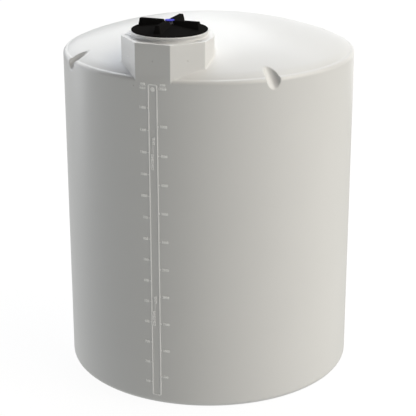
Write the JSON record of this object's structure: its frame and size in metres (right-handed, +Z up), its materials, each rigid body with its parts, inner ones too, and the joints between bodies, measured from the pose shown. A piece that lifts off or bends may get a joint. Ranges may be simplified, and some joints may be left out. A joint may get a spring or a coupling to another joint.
{
  "type": "vertical storage tank",
  "caption": "Upright round plastic storage tank with a domed roof, faceted manway, black screw lid with cross grip and vent, tie-down grooves and a raised level gauge.",
  "frame": {"origin": "centre of the round flat base, on the ground", "axes": "+Z up along the shell's axis; the manway and the level gauge are on the -Y side; +X is to the right seen from the front"},
  "size_m": [1.88, 1.8833, 2.4365],
  "materials": {
    "tank_shell": "natural white rotomoulded polyethylene, satin",
    "lid_plastic": "black moulded polypropylene, satin",
    "gasket_rubber": "black sheet rubber",
    "vent_cup": "smoke grey translucent plastic",
    "vent_cap": "blue plastic"
  },
  "bodies": {
    "tank": {"tank_floor": "tank_shell", "wall_1": "tank_shell", "wall_2": "tank_shell", "wall_3": "tank_shell", "wall_4": "tank_shell", "wall_5": "tank_shell", "wall_6": "tank_shell", "wall_7": "tank_shell", "wall_8": "tank_shell", "shoulder_front_right": "tank_shell", "shoulder_back_right": "tank_shell", "shoulder_back_left": "tank_shell", "shoulder_front_left": "tank_shell", "roof_dome": "tank_shell", "manway_wall": "tank_shell", "manway_deck": "tank_shell", "manway_neck": "tank_shell", "gauge_strip_left": "tank_shell", "gauge_strip_right": "tank_shell"},
    "gasket": {"lid_gasket": "gasket_rubber"},
    "lid": {"lid_plate": "lid_plastic", "lid_skirt": "lid_plastic", "lid_grip_front": "lid_plastic", "lid_grip_right": "lid_plastic", "lid_grip_back": "lid_plastic", "lid_grip_left": "lid_plastic", "vent_cup": "vent_cup"},
    "vent": {"vent_cap": "vent_cap"}
  },
  "joints": [
    {"name": "lid_lift", "type": "slide", "parent": "tank", "child": "gasket", "axis": [0, 0, 1], "range_m": [0, 0.35]},
    {"name": "lid_turn", "type": "hinge", "parent": "gasket", "child": "lid", "pos_m": [0, -0.663, 2.375], "axis": [0, 0, 1], "continuous": true},
    {"name": "vent_lift", "type": "slide", "parent": "lid", "child": "vent", "axis": [0, 0, 1], "range_m": [0, 0.006]}
  ]
}
